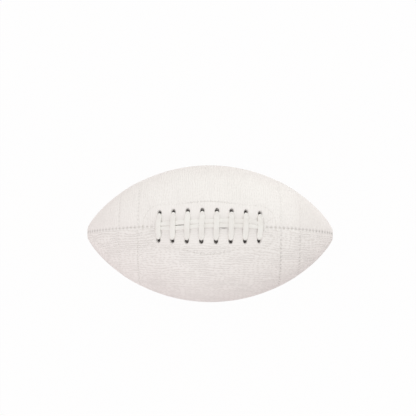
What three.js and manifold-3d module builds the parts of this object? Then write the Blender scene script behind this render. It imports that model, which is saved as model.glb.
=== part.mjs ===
// An American football: four sewn leather panels, lined, round an air bladder and closed by one long lace.
// Millimetres. X runs from tail (-X) to nose (+X), +Z points out through the lacing, +Y is the left side.
import * as THREE from "three";
import { mergeVertices } from "three/addons/utils/BufferGeometryUtils.js";
import Module from "manifold-3d";

const wasm = await Module();
wasm.setup();

// Outline of the ball
const BALL_LENGTH = 280;
const BALL_DIAMETER = 156;
const OUTLINE_POWER = 0.73; // 0.5 would make an ellipse, 1 a pair of parabolas
const TIP_DIAMETER = 15.7; // where the outline meets the blunt cap of a tip
const TIP_CAP = 1; // height of that cap

// Layers, from the outside in
const LEATHER = 2;
const LINING = 1;
const FACING = 1;
const TONGUE = 0.8;
const BLADDER_WALL = 0.9;
const FIT = 0.3; // clearance between pieces that touch
const TIP_THICKENING = 1.5; // layers lie this many times further apart at the tips than at the belly

// Seams
const GROOVE_DEPTH = 1.8;
const GROOVE_HALF_WIDTH = 3.5;
const THREAD_DIAMETER = 1;

// Lacing
const CROSSES = 8;
const HOLE_PITCH = 15.8; // along the surface
const HOLE_ROW = 16.6; // from the lace seam to a row of holes, at the belly
const HOLE_DIAMETER = 6;
const LACE_WIDTH = 5;
const LACE_THICKNESS = 1.6;
const ROLLED_WIDTH = 2.8; // the lace is rolled up where it goes through a hole or the slit
const ROLLED_THICKNESS = 2;
const SLIT_WIDTH = 3.8;
const TUCK_LENGTH = 12; // of each end of the lace, inside
const END_CROSS_BOW = 1; // the first and last cross bend outwards
const STRAND_DRIFT = 3; // the long strands wander off the slit by this much, from the tail end on
const DRIFT_LENGTH = 70; // until they lie parallel to it again
const LACING_DIP = 2; // the tight lace pulls the panels in by this much
const DIP_FADE = 30; // how far that dip reaches out from the lacing

// Facing and tongue, measured out from the holes
const FACING_END_MARGIN = 20;
const FACING_SIDE_MARGIN = 9;
const FACING_BULGE = 5.5; // the facing is wider in the middle
const FACING_ROUND = 0.6; // how full the ends of the facing's outline are, from 0 to 1
const TONGUE_END_MARGIN = 15;
const TONGUE_SIDE_MARGIN = 4;
const TONGUE_CORNER = 10;

// Stripes, measured along the ball's axis
const STRIPE_FROM_TIP = 51.2; // to the middle of the stripe
const STRIPE_WIDTH = 24.4;
const STRIPE_THICKNESS = 0.7;
const STRIPE_SKIVE = 1.5; // width of the pared edge
const STRIPE_EDGE = 0.25; // thickness left at the edge

// Valve
const VALVE_ANGLE = 215; // degrees round from the lacing, on the right back panel
const VALVE_STEM_DIAMETER = 7.2;
const VALVE_BORE = 4.6;
const VALVE_SINK = 0.6; // the stem ends this far below the surface
const VALVE_LENGTH = 13;
const VALVE_FLANGE_DIAMETER = 18;
const VALVE_FLANGE = 1.2;
const NEEDLE_HOLE = 1.4;
const NEEDLE_DEPTH = 4.3;
const NEEDLE_FUNNEL = 0.6; // how much wider the mouth of the needle hole is, all round
const PLUG_SHOULDER = 0.3; // the plug's face lies this far inside the stem
const PLUG_NOSE = 1; // length of the plug's tapered inner end

// Fineness of the facets
const RINGS = 8; // cross-sections from the middle of the ball to a tip, the same for every layer
const CAP_ANGLE = 70; // where the cap of a tip is cut into facets
const GROOVE_FOLD = 0.4; // share of a groove's half width at which its side is split into two facets
const LACE_SIDE_STEPS = [0.1, 0.2, 0.32, 0.48, 0.65, 0.83]; // closer together beside the lacing
const BACK_STEPS = [1, 2, 3, 4, 5].map((step) => step / 6);
const OUTER_BEND_STEPS = 3;
const INNER_BEND_STEPS = 2;
const TWIST_STEPS = 3;
const RUN_STEPS = 3; // stretches in one run of lace across the inside
const HOLE_SIDES = 8;
const HIDDEN_HOLE_SIDES = 6; // of the same holes in the layers behind the panels
const VALVE_SIDES = 12;
const THREAD_SIDES = 5;
const OUTLINE_STEPS = 3; // stretches in one curve of an outline
const PLACE_STEPS = 50; // steps along the surface from one hole to the next
const NUDGE = 0.01; // step along the surface that gives its direction
const WELD = 1e-4; // corners closer than this are one

const QUARTER = Math.PI / 2;
const WIDEST_EDGE = QUARTER / 3;
const { lerp, degToRad, smoothstep } = THREE.MathUtils;

// Places worked out from the sizes above
const halfLength = BALL_LENGTH / 2;
const belly = BALL_DIAMETER / 2;
const capStart = halfLength - TIP_CAP;
const tipShare = (TIP_DIAMETER / BALL_DIAMETER) ** (1 / OUTLINE_POWER);
const pointedEnd = capStart / Math.sqrt(1 - tipShare); // the outline would end in a point here

const liningDepth = LEATHER + FIT;
const liningInside = liningDepth + LINING;
const facingDepth = liningInside + FIT;
const facingInside = facingDepth + FACING;
const bladderDepth = liningInside + FIT;

const holeRadius = HOLE_DIAMETER / 2;
const holeShift = Math.sqrt((holeRadius - FIT) ** 2 - (ROLLED_WIDTH / 2) ** 2) - ROLLED_THICKNESS / 2;
const bend = holeRadius - holeShift; // radius of the lace's middle line round the edge of a hole
const strandSide = (LACE_WIDTH + FIT) / 2;
const strandHeight = FIT + LACE_THICKNESS / 2;
const crossHeight = strandHeight + ROLLED_THICKNESS / 2 + FIT + LACE_THICKNESS / 2;
const rolledSide = (ROLLED_WIDTH + FIT) / 2;
const slitBendHeight = strandHeight - bend;
const slitEndRadius = Math.hypot(rolledSide + ROLLED_WIDTH / 2, ROLLED_THICKNESS / 2) + FIT;
const insideRun = facingInside + bend; // depth of the lace's middle line inside

const tongueDepth = insideRun + ROLLED_THICKNESS / 2 + FIT;
const bladderDent = tongueDepth + TONGUE + FIT - bladderDepth; // the bladder gives way under the lacing

function outlineRadius(x) {
  return belly * (1 - (x / pointedEnd) ** 2) ** OUTLINE_POWER;
}

function outlineSlope(x) {
  const share = 1 - (x / pointedEnd) ** 2;
  return (-2 * OUTLINE_POWER * belly * x * share ** (OUTLINE_POWER - 1)) / pointedEnd ** 2;
}

// The place along X that lies a given distance along the surface from the middle of the ball.
function axialPlace(distance) {
  const step = HOLE_PITCH / PLACE_STEPS;
  let x = 0;
  for (let along = 0; along < Math.abs(distance); along += step) {
    x += step / Math.hypot(1, outlineSlope(x));
  }
  return Math.sign(distance) * x;
}

const crossPlaces = [];
for (let i = 0; i < CROSSES; i++) {
  crossPlaces.push(axialPlace((i - (CROSSES - 1) / 2) * HOLE_PITCH));
}
const slitEnd = crossPlaces.at(-1);
const facingEnd = slitEnd + FACING_END_MARGIN;
const facingSide = HOLE_ROW + FACING_SIDE_MARGIN;
const stripeCentre = halfLength - STRIPE_FROM_TIP;

function fadeOut(value, start, length) {
  return 1 - smoothstep(Math.abs(value), start, start + length);
}

function lacingDip(x, side) {
  return LACING_DIP * fadeOut(x, slitEnd, DIP_FADE) * fadeOut(side, 0, DIP_FADE);
}

function dentUnderLacing(x, side) {
  const wide = facingSide + FACING_BULGE;
  return bladderDent * fadeOut(x, facingEnd + DIP_FADE / 2, DIP_FADE) * fadeOut(side, wide, DIP_FADE);
}

// The grooves are at their full depth up to where the ball is this slim, and fade out from there to the tip.
const fullGrooveRadius = 4 * GROOVE_HALF_WIDTH;
const fullGrooveShare = (fullGrooveRadius / belly) ** (1 / OUTLINE_POWER);
const threadEnd = pointedEnd * Math.sqrt(1 - fullGrooveShare);

function grooveDepthAt(radius) {
  return GROOVE_DEPTH * Math.min(1, (radius / fullGrooveRadius) ** 2);
}

function groove(radius, angle) {
  const offSeam = angle - Math.round(angle / QUARTER) * QUARTER;
  const away = Math.abs(radius * Math.sin(offSeam)) / GROOVE_HALF_WIDTH;
  return away < 1 ? grooveDepthAt(radius) * (1 - away) ** 2 : 0;
}

// Cross-sections of the ball: along the main outline, and one on the blunt cap of each tip.
const innerRings = [];
for (let i = -RINGS; i <= RINGS; i++) {
  const share = i / RINGS;
  const x = (capStart * (share + Math.sin(share * QUARTER))) / 2;
  innerRings.push({ x, radius: outlineRadius(x) });
}
const noseRing = {
  x: capStart + TIP_CAP * Math.sin(degToRad(CAP_ANGLE)),
  radius: (TIP_DIAMETER / 2) * Math.cos(degToRad(CAP_ANGLE)),
};
const skinRings = [{ ...noseRing, x: -noseRing.x }, ...innerRings, noseRing];
const liningRings = innerRings.slice(1, -1);

function polar(x, radius, angle) {
  return new THREE.Vector3(x, radius * Math.sin(angle), radius * Math.cos(angle));
}

// A point of the layer that lies at some depth below the outside, sunk further by what is local.
function layerPoint(ring, depth, angle, sunk = 0) {
  const x = (ring.x * (halfLength - TIP_THICKENING * depth)) / halfLength;
  const dip = lacingDip(ring.x, ring.radius * angle);
  return polar(x, (ring.radius * (belly - depth)) / belly - dip - sunk, angle);
}

// A point near the outside, by its distance along the surface from the lace seam and its height above it.
function lacingPoint(x, side, height) {
  const radius = outlineRadius(x);
  const slope = outlineSlope(x);
  const upright = height / Math.hypot(1, slope);
  return polar(x - upright * slope, radius - lacingDip(x, side) + upright, side / radius);
}

function lacingAxes(x, side) {
  const origin = lacingPoint(x, side, 0);
  const up = lacingPoint(x, side, 1).sub(origin).normalize();
  const across = lacingPoint(x, side + NUDGE, 0).sub(lacingPoint(x, side - NUDGE, 0)).normalize();
  return { origin, up, across, along: across.clone().cross(up) };
}

// Skin through closed loops of points, with a lid on the first and last loop.
function loft(loops, lidFaces) {
  const count = loops[0].length;
  const faces = [];
  for (let k = 0; k + 1 < loops.length; k++) {
    for (let j = 0; j < count; j++) {
      const here = k * count + j;
      const next = k * count + ((j + 1) % count);
      faces.push(here, next, next + count);
      faces.push(here, next + count, here + count);
    }
  }
  const last = (loops.length - 1) * count;
  lidFaces(loops[0]).forEach(([a, b, c]) => faces.push(c, b, a));
  lidFaces(loops.at(-1)).forEach(([a, b, c]) => faces.push(last + a, last + b, last + c));
  const geometry = new THREE.BufferGeometry().setFromPoints(loops.flat());
  return geometry.setIndex(faces);
}

function crossSectionLid(loop) {
  const outline = loop.map((point) => new THREE.Vector2(point.y, point.z));
  return THREE.ShapeUtils.triangulateShape(outline, []);
}

function roundLid(loop) {
  return loop.slice(2).map((_, i) => [0, i + 1, i + 2]);
}

function solidOf(geometry) {
  const bare = new THREE.BufferGeometry();
  bare.setAttribute("position", geometry.getAttribute("position"));
  bare.setIndex(geometry.getIndex());
  const merged = mergeVertices(bare, WELD);
  const vertProperties = merged.getAttribute("position").array;
  const triVerts = new Uint32Array(merged.getIndex().array);
  return new wasm.Manifold(new wasm.Mesh({ numProp: 3, vertProperties, triVerts }));
}

function geometryOf(solid) {
  const mesh = solid.getMesh();
  const geometry = new THREE.BufferGeometry();
  geometry.setAttribute("position", new THREE.BufferAttribute(mesh.vertProperties, 3));
  return geometry.setIndex(new THREE.BufferAttribute(mesh.triVerts, 1));
}

// The quarter of the ball that a panel covers: its first seam, and the angles of its facets.
function quarter(startSeam, steps) {
  const start = startSeam * QUARTER;

  // Near the tips the edges take up less than their full width, so that the panel keeps a middle.
  function edgeAngle(ring, distance) {
    return WIDEST_EDGE * Math.tanh(distance / ring.radius / WIDEST_EDGE);
  }

  function middleAngles(ring) {
    const shoulder = edgeAngle(ring, GROOVE_HALF_WIDTH);
    return steps.map((step) => start + lerp(shoulder, QUARTER - shoulder, step));
  }

  function angles(ring, distances) {
    const edges = distances.map((distance) => edgeAngle(ring, distance));
    const first = edges.map((edge) => start + edge);
    const second = edges.map((edge) => start + QUARTER - edge).reverse();
    return [...first, ...middleAngles(ring), ...second];
  }

  return { angles };
}

const towardsLacing = LACE_SIDE_STEPS.map((step) => 1 - step).reverse();
const quarters = {
  lace_left: quarter(0, LACE_SIDE_STEPS),
  back_left: quarter(1, BACK_STEPS),
  back_right: quarter(2, BACK_STEPS),
  lace_right: quarter(-1, towardsLacing),
};

// A panel is rolled into the groove along its seams, and its edge is turned in to be sewn.
function panel(area) {
  const loops = skinRings.map((ring) => {
    const { radius } = ring;
    const skinEdges = [FIT / 2, GROOVE_FOLD * GROOVE_HALF_WIDTH, GROOVE_HALF_WIDTH];
    const skin = area
      .angles(ring, skinEdges)
      .map((angle) => layerPoint(ring, 0, angle, groove(radius, angle)))
      .reverse();
    const turned = area.angles(ring, [FIT / 2, FIT / 2 + LEATHER]);
    const turnedIn = (angle) => layerPoint(ring, liningInside, angle);
    const back = turned.slice(1, -1).map((angle) => layerPoint(ring, LEATHER, angle));
    return [
      ...skin,
      ...turned.slice(0, 2).map(turnedIn),
      ...back,
      ...turned.slice(-2).map(turnedIn),
    ];
  });
  return loft(loops, crossSectionLid);
}

// A layer that follows the panels from one seam to the next.
function layer(area, rings, depth, thickness, seamDistance) {
  const loops = rings.map((ring) => {
    const angles = area.angles(ring, [seamDistance]);
    const outer = angles.map((angle) => layerPoint(ring, depth, angle)).reverse();
    const inner = angles.map((angle) => layerPoint(ring, depth + thickness, angle));
    return [...outer, ...inner];
  });
  return loft(loops, crossSectionLid);
}

function roundTheBall(ring) {
  const inOrder = ["lace_right", "lace_left", "back_left", "back_right"];
  return inOrder.flatMap((place) => quarters[place].angles(ring, [0]).slice(0, -1));
}

function bladderSkin(inset) {
  const everySecondRing = innerRings.filter((_, i) => i % 2 === 0);
  const loops = everySecondRing.map((ring) =>
    roundTheBall(ring)
      .map((angle) => {
        const dent = dentUnderLacing(ring.x, ring.radius * angle);
        return layerPoint(ring, bladderDepth + inset + dent, angle);
      })
      .reverse(),
  );
  return solidOf(loft(loops, crossSectionLid));
}

// A drill along the surface normal, long enough for every layer.
function drill(x, side, radius, sides) {
  const { origin, up } = lacingAxes(x, side);
  const reach = 2 * (tongueDepth + LACING_DIP);
  const rod = new THREE.CylinderGeometry(radius, radius, reach, sides);
  rod.applyQuaternion(new THREE.Quaternion().setFromUnitVectors(new THREE.Vector3(0, 1, 0), up));
  rod.translate(origin.x, origin.y, origin.z);
  return solidOf(rod);
}

// Holes and slit for the lace
function lacingCut(sides) {
  const low = outlineRadius(slitEnd) - LACING_DIP - tongueDepth;
  const tall = belly + LACING_DIP - low;
  const slit = new THREE.BoxGeometry(2 * slitEnd, SLIT_WIDTH, tall).translate(0, 0, low + tall / 2);
  let cut = solidOf(slit);
  for (const end of [-slitEnd, slitEnd]) {
    cut = cut.add(drill(end, 0, slitEndRadius, sides));
  }
  for (const x of crossPlaces) {
    for (const hand of [-1, 1]) {
      cut = cut.add(drill(x, hand * holeRowAt(x), holeRadius, sides));
    }
  }
  return cut;
}

function holeRowAt(x) {
  return (HOLE_ROW * outlineRadius(x)) / belly;
}

// An outline in plan, drawn out upwards through the layers under the lacing.
function planCutter(shape) {
  const drawnOut = { depth: belly, bevelEnabled: false, curveSegments: OUTLINE_STEPS };
  return solidOf(new THREE.ExtrudeGeometry(shape, drawnOut).translate(0, 0, belly / 4));
}

function facingOutline() {
  const wide = facingSide + FACING_BULGE;
  const shape = new THREE.Shape();
  shape.moveTo(-facingEnd, 0);
  for (const hand of [-1, 1]) {
    const [side, widest, end, slit] = [facingSide, wide, facingEnd, slitEnd].map((size) => hand * size);
    const fullSide = FACING_ROUND * side;
    const fullEnd = lerp(slit, end, FACING_ROUND);
    shape.bezierCurveTo(end, fullSide, fullEnd, side, slit, side);
    shape.bezierCurveTo(slit / 2, side, slit / 2, widest, 0, widest);
    shape.bezierCurveTo(-slit / 2, widest, -slit / 2, side, -slit, side);
    shape.bezierCurveTo(-fullEnd, side, -end, fullSide, -end, 0);
  }
  return shape;
}

function tongueOutline() {
  const x = slitEnd + TONGUE_END_MARGIN;
  const y = HOLE_ROW + TONGUE_SIDE_MARGIN;
  const shape = new THREE.Shape();
  shape.absarc(x - TONGUE_CORNER, y - TONGUE_CORNER, TONGUE_CORNER, 0, QUARTER);
  shape.absarc(TONGUE_CORNER - x, y - TONGUE_CORNER, TONGUE_CORNER, QUARTER, 2 * QUARTER);
  shape.absarc(TONGUE_CORNER - x, TONGUE_CORNER - y, TONGUE_CORNER, 2 * QUARTER, 3 * QUARTER);
  shape.absarc(x - TONGUE_CORNER, TONGUE_CORNER - y, TONGUE_CORNER, 3 * QUARTER, 4 * QUARTER);
  return shape.closePath();
}

function tongue() {
  const loops = innerRings.map((ring) => {
    const right = quarters.lace_right.angles(ring, [0]);
    const left = quarters.lace_left.angles(ring, [0]).slice(1);
    const angles = [...right, ...left];
    const outer = angles.map((angle) => layerPoint(ring, tongueDepth, angle)).reverse();
    const inner = angles.map((angle) => layerPoint(ring, tongueDepth + TONGUE, angle));
    return [...outer, ...inner];
  });
  return geometryOf(solidOf(loft(loops, crossSectionLid)).intersect(planCutter(tongueOutline())));
}

// The lace is a chain of stations: a place near the surface, the width and thickness there, and how far the
// width is turned from lying along the ball (0) to lying across it (1).
const flat = { width: LACE_WIDTH, thickness: LACE_THICKNESS };
const rolled = { width: ROLLED_WIDTH, thickness: ROLLED_THICKNESS };

function between(from, to, share) {
  return {
    width: lerp(from.width, to.width, share),
    thickness: lerp(from.thickness, to.thickness, share),
  };
}

function bendShares(steps) {
  return Array.from({ length: steps + 1 }, (_, i) => i / steps);
}

const outerBend = bendShares(OUTER_BEND_STEPS);
const innerBend = bendShares(INNER_BEND_STEPS);

// Up through a hole, from the inside run to the start of a cross.
function climb(x, hand) {
  const edge = holeRowAt(x) - holeRadius;
  const inner = innerBend.map((share) => ({
    x,
    side: hand * (edge + bend * Math.sin(share * QUARTER)),
    height: -facingInside - bend * Math.cos(share * QUARTER),
    turn: 0,
    ...between(flat, rolled, share),
  }));
  const outer = outerBend.map((share) => ({
    x,
    side: hand * (edge + bend * Math.cos(share * QUARTER)),
    height: bend * Math.sin(share * QUARTER),
    turn: 0,
    ...between(rolled, flat, share),
  }));
  return [...inner, ...outer];
}

// How far the two long strands lie to the left of the slit.
function driftAt(x) {
  return STRAND_DRIFT * smoothstep(x, -slitEnd, DRIFT_LENGTH - slitEnd);
}

// Over the two long strands, from one hole of a pair towards the other.
function crossOver(index) {
  const x = crossPlaces[index];
  const endSign = Math.sign(x) * (index === 0 || index === CROSSES - 1 ? 1 : 0);
  const clear = strandSide + LACE_WIDTH / 2 + FIT;
  return [driftAt(x) + clear, 0, -clear].map((side) => ({
    x: x + endSign * END_CROSS_BOW * (1 - (side / holeRowAt(x)) ** 2),
    side,
    height: crossHeight,
    turn: 0,
    ...flat,
  }));
}

// Across the inside, from the right hole of one pair to the left hole of another.
function insideDiagonal(fromX, toX) {
  const stations = [];
  for (let i = 1; i < RUN_STEPS; i++) {
    const share = i / RUN_STEPS;
    const start = -(holeRowAt(fromX) - holeRadius);
    const finish = holeRowAt(toX) - holeRadius;
    const x = lerp(fromX, toX, share);
    stations.push({ x, side: lerp(start, finish, share), height: -insideRun, turn: 0, ...flat });
  }
  return stations;
}

// Out of the slit's end and over on to the surface, as one of the two long strands.
function outOfSlit(end, hand) {
  return outerBend.map((share) => ({
    x: end * (slitEnd - bend * (1 - Math.cos(share * QUARTER))),
    side: hand * lerp(rolledSide, strandSide, share / 2),
    height: slitBendHeight + bend * Math.sin(share * QUARTER),
    turn: 1,
    ...between(rolled, flat, share / 2),
  }));
}

// From a free end, tucked away inside past the slit, up into the slit's end.
function tuckedEnd(end, hand) {
  const lying = { side: hand * rolledSide, height: -insideRun, turn: 1 };
  const bent = innerBend.map((share) => ({
    x: end * (slitEnd + bend * (1 - Math.sin(share * QUARTER))),
    side: hand * rolledSide,
    height: -facingInside - bend * Math.cos(share * QUARTER),
    turn: 1,
    ...rolled,
  }));
  return [
    { x: end * (slitEnd + TUCK_LENGTH), ...lying, ...flat },
    { x: end * (slitEnd + TUCK_LENGTH / 2), ...lying, ...flat },
    ...bent,
  ];
}

// From beside a hole to the middle and up into the slit's end, turning from a cross into a long strand.
function fedFromHole(end, hand) {
  const x = end * slitEnd;
  const start = holeRowAt(x) - holeRadius;
  const halfway = (start + rolledSide + bend) / 2;
  const bent = innerBend.map((share) => ({
    x,
    side: hand * (rolledSide + bend * (1 - Math.sin(share * QUARTER))),
    height: -facingInside - bend * Math.cos(share * QUARTER),
    turn: 0,
    ...between(flat, rolled, share),
  }));
  const twisted = [];
  for (let i = 1; i < TWIST_STEPS; i++) {
    const share = i / TWIST_STEPS;
    const height = lerp(-facingInside, slitBendHeight, share);
    twisted.push({ x, side: hand * rolledSide, height, turn: share, ...rolled });
  }
  return [{ x, side: hand * halfway, height: -insideRun, turn: 0, ...flat }, ...bent, ...twisted];
}

function longStrand(hand) {
  const places = [];
  for (let i = 0; i < CROSSES - 1; i++) {
    if (i > 0) {
      places.push(crossPlaces[i]);
    }
    places.push((crossPlaces[i] + crossPlaces[i + 1]) / 2);
  }
  return places.map((x) => ({
    x,
    side: hand * strandSide + driftAt(x),
    height: strandHeight,
    turn: 1,
    ...flat,
  }));
}

function laceRoute() {
  const route = [
    ...tuckedEnd(-1, 1),
    ...outOfSlit(-1, 1),
    ...longStrand(1),
    ...outOfSlit(1, 1).reverse(),
    ...fedFromHole(1, 1).reverse(),
  ];
  for (let i = CROSSES - 1; i >= 0; i--) {
    const x = crossPlaces[i];
    route.push(...climb(x, 1), ...crossOver(i), ...climb(x, -1).reverse());
    if (i > 0) {
      route.push(...insideDiagonal(x, crossPlaces[i - 1]));
    }
  }
  route.push(
    ...fedFromHole(-1, -1),
    ...outOfSlit(-1, -1),
    ...longStrand(-1),
    ...outOfSlit(1, -1).reverse(),
    ...tuckedEnd(1, -1).reverse(),
  );
  return route;
}

function lace() {
  const route = laceRoute();
  const centres = route.map(({ x, side, height }) => lacingPoint(x, side, height));
  const loops = route.map((station, i) => {
    const before = centres[Math.max(i - 1, 0)];
    const after = centres[Math.min(i + 1, centres.length - 1)];
    const forward = after.clone().sub(before).normalize();
    const { along, across } = lacingAxes(station.x, station.side);
    const turn = station.turn * QUARTER;
    const wide = along.multiplyScalar(Math.cos(turn)).addScaledVector(across, Math.sin(turn));
    wide.addScaledVector(forward, -wide.dot(forward)).normalize();
    const thick = forward.clone().cross(wide);
    const [w, t] = [station.width / 2, station.thickness / 2];
    const section = [
      [w, 0],
      [w - t / 2, t],
      [t / 2 - w, t],
      [-w, 0],
      [t / 2 - w, -t],
      [w - t / 2, -t],
    ];
    return section.map(([u, v]) => centres[i].clone().addScaledVector(wide, u).addScaledVector(thick, v));
  });
  return loft(loops, roundLid);
}

// Seam thread, lying in the groove between two panels.
function seamThread(seam, fromX, toX) {
  const angle = seam * QUARTER;
  const onTheWay = skinRings.map(({ x }) => x).filter((x) => x > fromX && x < toX);
  const loops = [fromX, ...onTheWay, toX].map((x) => {
    const radius = outlineRadius(x);
    const depth = grooveDepthAt(radius);
    const lift = (THREAD_DIAMETER / 2 + FIT) * Math.hypot(1, (2 * depth) / GROOVE_HALF_WIDTH);
    const { up, across } = lacingAxes(x, radius * angle);
    const bottom = polar(x, radius - lacingDip(x, radius * angle) - depth, angle);
    const centre = bottom.addScaledVector(up, lift);
    return Array.from({ length: THREAD_SIDES }, (_, i) => {
      const round = (i / THREAD_SIDES) * 4 * QUARTER;
      const point = centre.clone().addScaledVector(across, (Math.cos(round) * THREAD_DIAMETER) / 2);
      return point.addScaledVector(up, (Math.sin(round) * THREAD_DIAMETER) / 2);
    });
  });
  return loft(loops, roundLid);
}

// A stripe of thin leather, pared at its edges and sewn on between two seams.
function stripe(area, end) {
  const near = stripeCentre - STRIPE_WIDTH / 2;
  const far = stripeCentre + STRIPE_WIDTH / 2;
  const sections = [
    [near, STRIPE_EDGE],
    [near + STRIPE_SKIVE, STRIPE_THICKNESS],
    [stripeCentre, STRIPE_THICKNESS],
    [far - STRIPE_SKIVE, STRIPE_THICKNESS],
    [far, STRIPE_EDGE],
  ].map(([x, thickness]) => [end * x, thickness]);
  const ordered = end > 0 ? sections : sections.reverse();
  const loops = ordered.map(([x, thickness]) => {
    const radius = outlineRadius(x);
    const angles = area.angles({ x, radius }, [GROOVE_HALF_WIDTH]);
    const outer = angles.map((angle) => lacingPoint(x, radius * angle, FIT + thickness)).reverse();
    const inner = angles.map((angle) => lacingPoint(x, radius * angle, FIT));
    return [...outer, ...inner];
  });
  return loft(loops, crossSectionLid);
}

// Valve: a rubber stem with a flange inside the bladder, and a plug that closes round the needle.
const valveAngle = degToRad(VALVE_ANGLE);
const stemRadius = VALVE_STEM_DIAMETER / 2;
const boreRadius = VALVE_BORE / 2;
const flangeRadius = VALVE_FLANGE_DIAMETER / 2;
const bladderInside = bladderDepth + BLADDER_WALL;
const wallCurve = flangeRadius ** 2 / BALL_DIAMETER; // the bladder wall curves in this far over the flange
const wallFacet = belly * (1 - Math.cos(QUARTER / BACK_STEPS.length / 2)); // and its facets cut in this far

function revolve(profile, sides) {
  const outline = profile.map(([radius, height]) => new THREE.Vector2(radius, height));
  const geometry = new THREE.LatheGeometry(outline, sides);
  geometry.rotateX(QUARTER);
  geometry.translate(0, 0, belly);
  return geometry.rotateX(-valveAngle);
}

function valveHousing() {
  const flangeTop = -(bladderInside + wallCurve + wallFacet + FIT);
  return revolve(
    [
      [boreRadius, -VALVE_LENGTH],
      [stemRadius, -VALVE_LENGTH],
      [stemRadius, flangeTop - VALVE_FLANGE],
      [flangeRadius, flangeTop - VALVE_FLANGE],
      [flangeRadius, flangeTop],
      [stemRadius, flangeTop],
      [stemRadius, -VALVE_SINK],
      [boreRadius, -VALVE_SINK],
      [boreRadius, -VALVE_LENGTH],
    ],
    VALVE_SIDES,
  );
}

function valvePlug() {
  const plugRadius = boreRadius - FIT;
  const face = -(VALVE_SINK + PLUG_SHOULDER);
  const mouth = NEEDLE_HOLE / 2 + NEEDLE_FUNNEL;
  return revolve(
    [
      [0, -VALVE_LENGTH - PLUG_NOSE],
      [plugRadius / 2, -VALVE_LENGTH - PLUG_NOSE],
      [plugRadius, -VALVE_LENGTH],
      [plugRadius, face],
      [mouth, face],
      [NEEDLE_HOLE / 2, face - NEEDLE_FUNNEL],
      [NEEDLE_HOLE / 2, face - NEEDLE_DEPTH],
      [0, face - NEEDLE_DEPTH - NEEDLE_HOLE / 2],
    ],
    VALVE_SIDES,
  );
}

function valveCut() {
  const rod = new THREE.CylinderGeometry(stemRadius + FIT, stemRadius + FIT, 2 * VALVE_LENGTH, VALVE_SIDES);
  rod.rotateX(QUARTER);
  rod.translate(0, 0, belly);
  return solidOf(rod.rotateX(-valveAngle));
}

const ball = new THREE.Group();

function addPiece(name, geometry, finish) {
  geometry.computeVertexNormals();
  const mesh = new THREE.Mesh(geometry, new THREE.MeshStandardMaterial({ ...finish, metalness: 0 }));
  mesh.name = name;
  ball.add(mesh);
}

const WHITE_LEATHER = { color: 0xf0ece6, roughness: 0.55 };
const LACE_LEATHER = { color: 0xf3f0ea, roughness: 0.5 };
const INNER_LEATHER = { color: 0x594d42, roughness: 0.75 };
const LINING_CLOTH = { color: 0x706961, roughness: 0.9 };
const WHITE_THREAD = { color: 0xe9e6df, roughness: 0.7 };
const BLADDER_RUBBER = { color: 0x3a3a3c, roughness: 0.6 };
const VALVE_RUBBER = { color: 0xcfc9bf, roughness: 0.6 };

const panelLacing = lacingCut(HOLE_SIDES);
const hiddenLacing = lacingCut(HIDDEN_HOLE_SIDES);
const valveHole = valveCut();
const liningEdge = FIT / 2 + LEATHER + FIT; // a lining stops beside the turned-in edge of its panel

for (const [place, area] of Object.entries(quarters)) {
  const [zone, hand] = place.split("_");
  const [skinCut, liningCut] = zone === "lace" ? [panelLacing, hiddenLacing] : [valveHole, valveHole];
  const skin = solidOf(panel(area)).subtract(skinCut);
  const lining = solidOf(layer(area, liningRings, liningDepth, LINING, liningEdge)).subtract(liningCut);
  addPiece(`${zone}_panel_${hand}`, geometryOf(skin), WHITE_LEATHER);
  addPiece(`${zone}_lining_${hand}`, geometryOf(lining), LINING_CLOTH);
}

const facingCutter = planCutter(facingOutline()).subtract(hiddenLacing);
for (const hand of ["left", "right"]) {
  const area = quarters[`lace_${hand}`];
  const facing = solidOf(layer(area, innerRings, facingDepth, FACING, FIT / 2)).intersect(facingCutter);
  addPiece(`lace_facing_${hand}`, geometryOf(facing), INNER_LEATHER);
  addPiece(`stripe_${hand}_nose`, stripe(area, 1), WHITE_LEATHER);
  addPiece(`stripe_${hand}_tail`, stripe(area, -1), WHITE_LEATHER);
}

addPiece("tongue", tongue(), INNER_LEATHER);
addPiece("lace", lace(), LACE_LEATHER);

const threadStart = slitEnd + slitEndRadius + FIT;
addPiece("lace_seam_thread_nose", seamThread(0, threadStart, threadEnd), WHITE_THREAD);
addPiece("lace_seam_thread_tail", seamThread(0, -threadEnd, -threadStart), WHITE_THREAD);
addPiece("side_seam_thread_left", seamThread(1, -threadEnd, threadEnd), WHITE_THREAD);
addPiece("back_seam_thread", seamThread(2, -threadEnd, threadEnd), WHITE_THREAD);
addPiece("side_seam_thread_right", seamThread(3, -threadEnd, threadEnd), WHITE_THREAD);

const bladder = bladderSkin(0).subtract(bladderSkin(BLADDER_WALL)).subtract(valveHole);
addPiece("bladder", geometryOf(bladder), BLADDER_RUBBER);
addPiece("valve_housing", valveHousing(), VALVE_RUBBER);
addPiece("valve_plug", valvePlug(), VALVE_RUBBER);

export default ball;
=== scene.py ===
"""Looks of a white laced leather football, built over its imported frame.

Lengths are in millimetres up to add_mesh, and in metres from the floor on. A hand is 1 on the left and -1
on the right, and an end is 1 at the nose and -1 at the tail.
"""
import math

import bpy
import numpy as np
from mathutils import Matrix, Vector


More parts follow.
